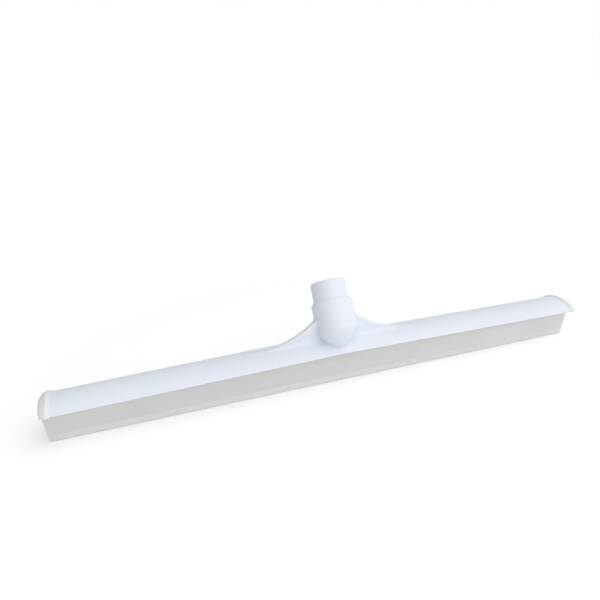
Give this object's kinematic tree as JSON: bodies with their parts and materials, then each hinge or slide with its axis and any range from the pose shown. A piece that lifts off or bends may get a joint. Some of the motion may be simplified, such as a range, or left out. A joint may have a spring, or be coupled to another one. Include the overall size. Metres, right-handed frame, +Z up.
{
  "type": "floor squeegee head",
  "caption": "Long floor squeegee head with an arched hood, a leaning threaded handle socket on two webs, soft end bumpers and a soft blade whose thin lip bends as it wipes.",
  "frame": {"origin": "middle of the wiping edge, on the floor", "axes": "+X along the blade to the right, +Y to the back, the side the socket leans to, +Z up"},
  "size_m": [0.5, 0.0531, 0.0972],
  "materials": {
    "frame_plastic": "satin moulded",
    "blade_rubber": "matte moulded",
    "bumper_rubber": "matte moulded"
  },
  "bodies": {
    "frame": {"hood": "frame_plastic", "blade_rail": "frame_plastic", "blade_keys": "blade_rubber", "socket_boss": "frame_plastic", "thread_sleeve": "frame_plastic", "web_left": "frame_plastic", "web_right": "frame_plastic", "blade_root": "blade_rubber", "bumper_left": "bumper_rubber", "bumper_right": "bumper_rubber"},
    "lip": {"blade_lip": "blade_rubber"}
  },
  "joints": [
    {"name": "lip_flex", "type": "hinge", "parent": "frame", "child": "lip", "pos_m": [0, 0, 0.0082], "axis": [1, 0, 0], "range_deg": [-28, 28], "stiffness_Nm_per_rad": 1}
  ]
}
